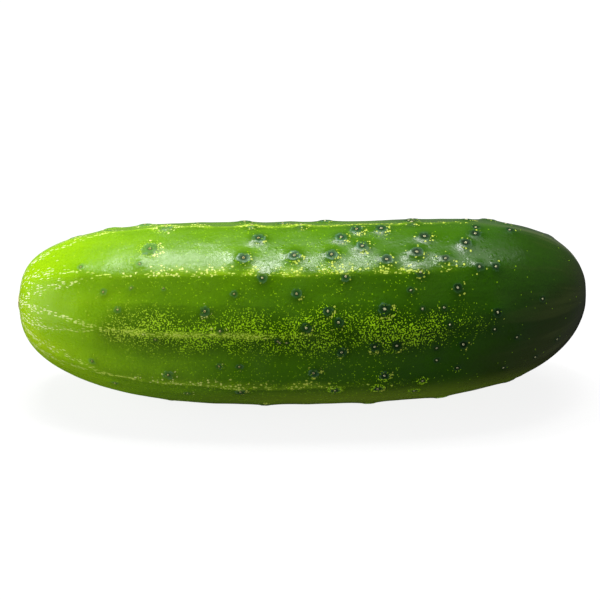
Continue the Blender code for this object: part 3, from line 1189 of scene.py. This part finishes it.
def lay_flecks(b, at):
    """The bands of flecks, and the small rings of them round some warts."""
    darker = b.times(at.band, b.plus(b.times(at.ridge, -0.4), 0.58))
    at.colour = b.lay(darker, at.colour, BAND_GROUND)
    patchy = b.fade(at.mottle, 0.25, 0.60, 0.66, 0.98)
    banded = b.plus(b.times(at.ridge, at.band, 0.8), b.times(at.band, patchy))
    banded = b.times(banded, b.fade(at.wart_gap, 0.3, 0.6))
    ring = b.times(b.fade(at.flare, 0.20, 0.42), b.fall(at.flare, 0.56, 0.90))
    low = b.times(b.fade(at.height, 0.0170, 0.0110), b.fade(at.station, 54.0, 68.0),
                  b.fall(at.station, 96.0, 108.0))
    ringed = b.times(ring, b.plus(b.times(at.early, EARLY_RING), low))
    density = b.calc("MAXIMUM", banded, ringed)
    at.speckle = b.masked(flecks, b.place, FLECK_SCALE, density, FLECK_EDGE)
    at.lime = b.lay(b.fade(at.station, 14.0, 42.0), BLOSSOM_LIME, LIME)
    at.lime = b.lay(at.ridge, at.lime, RIDGE_LIME)
    at.colour = b.lay(b.times(at.speckle, FLECK_STRENGTH), at.colour, at.lime)


print("ridges and flecks ready")

# %% [markdown]
# ## Beads
# Round pale beads gather in three ways: in a broken fringe round the bigger warts, thickest on
# the side towards the stalk, in strings along the ribs, where the skin under them glows, partly
# its own paler colour and partly painted light, and a few finer ones anywhere. All grow scarce
# towards the stalk. They are spots of colour and not pieces, because thousands of them lie flush
# with the skin.

# %% Beads
BEAD_GLOW_AND_LIGHT = paint(186, 232, 16)
GLOW_AND_LIGHT_STRENGTH = 0.5
BLOSSOM_BEAD = paint(244, 255, 150)
BEAD = paint(220, 240, 84)
BEAD_SCALE = 1850.0
BEAD_EDGE = 0.06
BEAD_STRENGTH = 0.95
FINE_BEAD_SCALE = 3600.0
FINE_BEAD_EDGE = 0.08
FINE_BEAD_STRENGTH = 0.6
STRING_REACH = 0.8          # millimetres that a string of beads spreads below its rib,
EXTRA_REACH = 2.0           # and how much further above it


def bead_fringe(b, at):
    """How thickly beads stand round the warts."""
    return b.times(
        b.fade(at.flare, 0.36, 0.50),
        b.fall(at.flare, 0.54, 0.84),
        b.plus(b.fade(at.wart_side, -0.5, 0.6, 0.06, 0.75), at.early),
        b.fade(at.wart_bulk, 0.3, 0.9),
        b.fade(at.toward_back, 4.0, 12.0, 1.0, 0.3),
        b.fade(at.mottle, 0.35, 0.65, 0.5, 1.0),
        b.fade(at.station, 84.0, 102.0, 1.0, 0.4),
        b.fade(at.station, 26.0, 42.0, 0.5, 1.0),
    )


def bead_string(b, at):
    """How near the line of a string of beads each point is."""
    reach = b.plus(b.times(at.above, EXTRA_REACH), STRING_REACH)
    off = b.over(b.plus(b.times(at.waver, 1.1), at.rib_gap), reach)
    return b.times(at.beads, b.fade(off, 0.2, 1.0, 0.75, 0.0))


def few_beads(b, at):
    """How thickly the fine beads stand that belong to no rib or wart."""
    return b.times(
        b.fade(at.station, 10.0, 34.0),
        b.fade(at.station, 66.0, 96.0, 0.16, 0.01),
        b.fade(at.mottle, 0.3, 0.7, 0.3, 1.0),
        b.fade(at.upward, 9.0, 15.0, 1.0, 0.4),
    )


def lay_beads(b, at):
    """The glow under the strings, partly painted light, then the fine beads, then the large ones.
    """
    string = bead_string(b, at)
    # The glow is partly the skin's own paler colour and partly painted light.
    glow_and_light = b.times(
        string,
        b.fade(at.station, 20.0, 40.0),
        b.fade(at.station, 56.0, 84.0, 1.0, 0.35),
        b.fade(at.mottle, 0.38, 0.6, 0.15, 1.0),
        GLOW_AND_LIGHT_STRENGTH,
    )
    at.colour = b.lay(glow_and_light, at.colour, BEAD_GLOW_AND_LIGHT)
    string = b.times(string, b.fade(at.mottle, 0.35, 0.60), b.fade(at.station, 18.0, 34.0))
    density = b.calc("MAXIMUM", bead_fringe(b, at), string)
    at.dots = b.masked(beads, b.place, BEAD_SCALE, density, BEAD_EDGE)
    fine = b.masked(beads, b.place, FINE_BEAD_SCALE, few_beads(b, at), FINE_BEAD_EDGE)
    bright = b.lay(b.fade(at.station, 25.0, 60.0), BLOSSOM_BEAD, BEAD)
    at.colour = b.lay(b.times(fine, FINE_BEAD_STRENGTH), at.colour, at.lime)
    at.colour = b.lay(b.times(at.dots, BEAD_STRENGTH), at.colour, bright)


print("beads ready")

# %% [markdown]
# ## Pale dashes
# From the blossom scab each rib starts as two strands of pale dashes, which join on the rib about
# 20 mm on. The dashes are beads that the pattern draws out lengthwise. Towards the tip there is
# room for fewer, so the pattern halves its count at each halving of the distance.

# %% Dashes
BLOSSOM_DASH = paint(246, 253, 196)
DASH = paint(218, 244, 100)
LOW_DASH = paint(216, 246, 84)
DASH_DENSITY = 0.64
DASH_EDGE = 0.10
DASH_STRENGTH = 0.95
DASHES_ALONG = 1.05         # dashes for each millimetre along the rib,
DASHES_ACROSS = 2.9         # and across it, in full room
FULL_ROOM = 16.0            # millimetres from the scab, where there is room for all of them


def dash_pattern(b, at):
    """Coordinates in which a round bead is a long dash on the skin."""
    from_scab = b.calc("MAXIMUM", b.calc("MINIMUM", at.walked, FULL_ROOM), 1.0)
    halvings = b.calc("ROUND", b.calc("LOGARITHM", b.over(from_scab, FULL_ROOM), 2.0))
    across = b.times(b.calc("POWER", 2.0, halvings), DASHES_ACROSS)
    drawn = b.arrow("MULTIPLY", at.straight, b.xyz(DASHES_ALONG, across, across))
    bent = b.xyz(0.0, b.times(at.waver, 2.4), b.times(at.patch, 9.0))
    return b.arrow("ADD", drawn, bent)


def lay_dashes(b, at):
    """Two strands of dashes on each rib, and a crown of them round the scab."""
    strand = b.fade(at.station, 8.0, 23.0, 1.7, 0.0)
    width = b.fade(at.station, 2.0, 22.0, 1.15, 0.48)
    off = b.calc("ABSOLUTE", b.minus(at.rib_gap, strand))
    off = b.over(b.plus(b.times(at.waver, 0.7), off), width)
    near = b.times(b.fall(off, 0.1, 1.1), at.line, b.fade(at.station, 26.0, 50.0, 1.0, 0.6))
    crown = b.times(b.fade(at.station, 2.0, 13.0, 0.26, 0.0),
                    b.fade(at.rib_gap, 1.0, 4.5, 1.0, 0.35))
    density = b.times(b.calc("MAXIMUM", near, crown), DASH_DENSITY)
    at.dashes = b.masked(beads, dash_pattern(b, at), 1.0, density, DASH_EDGE)
    pale = b.lay(b.fade(at.station, 3.0, 20.0), BLOSSOM_DASH, DASH)
    pale = b.lay(b.fade(at.height, 0.0290, 0.0150, 0.0, 0.4), pale, LOW_DASH)
    at.colour = b.lay(b.times(at.dashes, DASH_STRENGTH), at.colour, pale)


print("dashes ready")

# %% [markdown]
# ## Wax
# The skin is waxy: glossy, but finely grained, so that its highlight is soft. It is duller on
# the pale marks and in the cups of the warts. Here and there between the warts stand tiny
# wet-looking pimples. All of this is too fine to model, so it is roughness and bump.

# %% Wax, and the whole skin
WAX_IOR = 1.45
SHINE = 0.5                 # the usual specular level
CUP_SHINE_LOSS = 0.35
GRAIN_HEIGHT = 0.000085
MARK_HEIGHT = 0.000010
PIMPLE_HEIGHT = 0.000040
PIMPLE_SCALE = 1300.0
PIMPLE_EDGE = 0.28


def pimples_on(b, at):
    """Soft pimples between the warts."""
    pimply = b.times(
        b.fade(b.noise(b.place, 190.0, 1.0), 0.50, 0.62),
        b.fade(at.wart_gap, 1.9, 1.2),
        b.fade(at.wart_gap, 0.5, 0.7),
        b.fade(at.station, 40.0, 54.0),
        0.5,
    )
    return b.masked(beads, b.place, PIMPLE_SCALE, pimply, PIMPLE_EDGE)


def wax(b, at):
    """How dull each point is, and its finest relief."""
    marks = b.calc("MAXIMUM", b.calc("MAXIMUM", at.speckle, at.dots), at.dashes)
    grain = b.sway(b.place, 900.0, 3.0, 0.6)
    pimples = pimples_on(b, at)
    patchy = b.minus(b.fade(b.noise(b.place, 130.0, 1.0), 0.3, 0.7), 0.5)
    rough = b.plus(
        b.times(patchy, b.fade(at.station, 30.0, 56.0, 0.02, 0.10)),
        b.fade(at.station, 30.0, 60.0, 0.28, 0.24),
        b.times(grain, 0.16),
        b.times(marks, 0.06),
        b.times(at.cup, 0.25),
        b.times(pimples, -0.10),
    )
    b.feed(b.shader["Roughness"], rough)
    b.feed(b.shader["Specular IOR Level"], b.minus(SHINE, b.times(at.cup, CUP_SHINE_LOSS)))
    b.bump(1.0, 1.0, b.plus(b.times(grain, GRAIN_HEIGHT), b.times(marks, MARK_HEIGHT),
                            b.times(pimples, PIMPLE_HEIGHT)))


def finish_skin(material):
    """The whole look of the skin, coat over coat."""
    b = FinishBench(material)
    at = read_skin(b)
    for coat in (lay_ground, lay_wear, lay_warts, lay_ridges, lay_flecks, lay_beads, lay_dashes):
        coat(b, at)
    b.feed(b.shader["Base Color"], at.colour)
    wax(b, at)
    b.shader["IOR"].default_value = WAX_IOR


finish_skin(skin_finish)
print("waxy_skin has", len(skin_finish.node_tree.nodes), "nodes")

# %% [markdown]
# ## Dry tissue
# Spine bases, scab and stub are all dead, dry and matt. The spine bases go from tan near the
# blossom to clean cream near the stalk, each with a dark hole. The scab is cream, and the stub is
# brown cork. They are small, so two colours and a little noise are enough for each.

# %% The dry materials
TAN_SPINE = paint(200, 194, 110)
CREAM_SPINE = paint(228, 230, 176)
SPINE_HOLE = paint(30, 34, 10)
SCAB_COLOURS = (paint(232, 226, 176), paint(176, 170, 96))
CORK_COLOURS = (paint(150, 124, 78), paint(88, 66, 36))


def finish_spines(material):
    """Cream or tan cups with a dark hole."""
    b = FinishBench(material)
    age = b.fact("age")
    fresh = b.fade(b.plus(b.split(b.place)[0], b.times(age, 0.03)), -0.01, 0.05)
    hole = b.fade(b.times(b.fact("hole"), b.fade(age, 1.1, 0.6)), 0.15, 0.4)
    colour = b.lay(hole, b.lay(fresh, TAN_SPINE, CREAM_SPINE), SPINE_HOLE)
    b.feed(b.shader["Base Color"], colour)
    b.shader["Roughness"].default_value = 0.6


def finish_dry(material, colours, scale):
    """Rough dead tissue, darker in its pits."""
    b = FinishBench(material)
    pits = b.masked(flecks, b.place, scale, 0.8, 0.2)
    b.feed(b.shader["Base Color"], b.lay(pits, *colours))
    b.shader["Roughness"].default_value = 0.8
    b.bump(0.5, 0.0001, b.noise(b.place, scale * 1.5, 2.0))


finish_spines(spine_finish)
finish_dry(scab_finish, SCAB_COLOURS, 1500.0)
finish_dry(cork_finish, CORK_COLOURS, 1100.0)
print("dry materials ready")

# %% [markdown]
# ## Fixing the pieces to the part
# The whole fruit is one body, so every piece rides the root. The grown skin stands in for the
# solid part. The point clouds have done their work and are removed.

# %% Ride and replace
for piece in (skin, spines, scab, stub):
    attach(piece, "root")
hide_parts("cucumber")
for helper in (outline, ribs, wart_points):
    bpy.data.objects.remove(helper, do_unlink=True)
print("four pieces ride the root")

# %% [markdown]
# ## The floor
# The floor of the studio is pale and plain. It glows, so that it is as pale far off as near by.
# Its glow is hidden from the fruit, which would look flat in it: the world further down gives
# back the light that a real floor would.

# %% Floor
FLOOR_HALF = 6.0
FLOOR_DROP = 0.0001
corners = [(-1, -1), (1, -1), (1, 1), (-1, 1)]
floor_mesh = bpy.data.meshes.new("floor")
floor_mesh.from_pydata([(x * FLOOR_HALF, y * FLOOR_HALF, 0.0) for x, y in corners], [],
                       [(0, 1, 2, 3)])
floor = bpy.data.objects.new("floor", floor_mesh)
floor.location.z = -FLOOR_DROP
bpy.context.scene.collection.objects.link(floor)
floor_finish = bpy.data.materials.new("pale_floor")
floor_bench = FinishBench(floor_finish)
from_fruit = floor_bench.arrow("LENGTH", floor_bench.place)
floor_bench.shader["Base Color"].default_value = (0.16, 0.16, 0.16, 1.0)
floor_bench.shader["Emission Color"].default_value = (1.0, 1.0, 1.0, 1.0)
floor_bench.feed(floor_bench.shader["Emission Strength"],
                 floor_bench.fade(from_fruit, 0.3, 0.9, 0.86, 1.0))
floor_bench.shader["Roughness"].default_value = 0.9
floor_bench.shader["Specular IOR Level"].default_value = 0.0
floor_mesh.materials.append(floor_finish)
floor.visible_diffuse = False
floor.visible_glossy = False
print("floor is", 2 * FLOOR_HALF, "m square")

# %% [markdown]
# ## Lamps
# Two strip lamps overhead draw the long broken highlight on the wax, and a wide weak one joins
# it up. A broad lamp overhead and one beyond the blossom end light the colour of the skin. These
# two are kept out of reflections, so that they add no highlights of their own.

# %% Lamps
FRUIT = (0.0, 0.0, 0.02)


def softbox(name, place, size, radiance):
    """A rectangular light at a place, turned to the fruit. Its radiance is its brightness."""
    lamp = bpy.data.lights.new(name, "AREA")
    lamp.shape = "RECTANGLE"
    lamp.size, lamp.size_y = size
    lamp.energy = radiance * math.pi * size[0] * size[1]
    made = bpy.data.objects.new(name, lamp)
    made.location = place
    made.rotation_mode = "QUATERNION"
    made.rotation_quaternion = (Vector(FRUIT) - Vector(place)).to_track_quat("-Z", "Y")
    bpy.context.scene.collection.objects.link(made)
    return made


softbox("overhead_left", (-0.19, 0.205, 0.725), (0.26, 0.06), 31.0)
softbox("overhead_right", (0.03, 0.115, 0.755), (0.17, 0.07), 29.0)
softbox("overhead_glow", (0.04, 0.175, 0.765), (0.80, 0.30), 1.8)
broad = softbox("overhead_broad", (0.05, 0.34, 0.72), (0.6, 0.5), 3.4)
side = softbox("blossom_side", (-0.62, -0.05, 0.02), (0.5, 0.6), 5.8)
for lamp in (broad, side):
    lamp.visible_glossy = False
print("five lamps")

# %% [markdown]
# ## The world
# The world stands for the pale walls of the room. The camera sees it white. It lights the skin
# softly, a little more from below, as a floor would. It also shines faintly from behind and from
# past the stalk, where a waxy skin mirrors the room at a grazing angle.

# %% World
BEHIND = (0.0, 0.99, 0.1)
PAST_STALK = (1.0, 0.0, 0.0)
BELOW = (0.0, 0.0, -1.0)
world = bpy.data.worlds.new("studio")
bpy.context.scene.world = world
world.use_nodes = True
world.node_tree.nodes.clear()
b = Bench(world.node_tree)
ray = b.add("ShaderNodeLightPath").outputs
toward = b.add("ShaderNodeTexCoord").outputs["Generated"]
shine = b.calc(
    "MAXIMUM",
    b.fade(b.arrow("DOT_PRODUCT", toward, BEHIND), 0.7, 1.0, 0.01, 0.16),
    b.fade(b.arrow("DOT_PRODUCT", toward, PAST_STALK), 0.15, 0.9, 0.0, 0.11),
)
bounce = b.fade(b.arrow("DOT_PRODUCT", toward, BELOW), 0.0, 0.8, 0.25, 0.38)
strength = b.calc("MAXIMUM", b.times(ray["Is Diffuse Ray"], bounce), shine)
strength = b.calc("MAXIMUM", strength, ray["Is Camera Ray"])
sky = b.add("ShaderNodeBackground", {"Color": (1.0, 1.0, 1.0, 1.0), "Strength": strength})
b.add("ShaderNodeOutputWorld", {"Surface": sky.outputs[0]})
print("world has", len(world.node_tree.nodes), "nodes")

# %% [markdown]
# ## The camera
# The camera faces the front of the fruit from a little above. Its lens is long, so the near
# warts don't swell, and the outline is close to the true one.

# %% The camera
ELEVATION = math.radians(26.0)
DISTANCE = 0.4947
LENS = 135.0                # millimetres, as is the sensor
SENSOR_WIDTH = 36.0
AIM = Vector((-0.0008, 0.0, 0.01941))
AIM_RISE = 0.00235          # the view is raised by this, which sets the fruit lower in it
camera = bpy.data.objects.new("camera", bpy.data.cameras.new("camera"))
camera.data.lens = LENS
camera.data.sensor_width = SENSOR_WIDTH
back = Vector((0.0, -math.cos(ELEVATION), math.sin(ELEVATION)))
up = Vector((0.0, math.sin(ELEVATION), math.cos(ELEVATION)))
camera.location = AIM + up * AIM_RISE + back * DISTANCE
camera.rotation_mode = "QUATERNION"
camera.rotation_quaternion = (-back).to_track_quat("-Z", "Y")
bpy.context.scene.collection.objects.link(camera)
bpy.context.scene.camera = camera
bpy.context.scene.view_settings.view_transform = "Standard"
print("camera stands", DISTANCE, "m away")
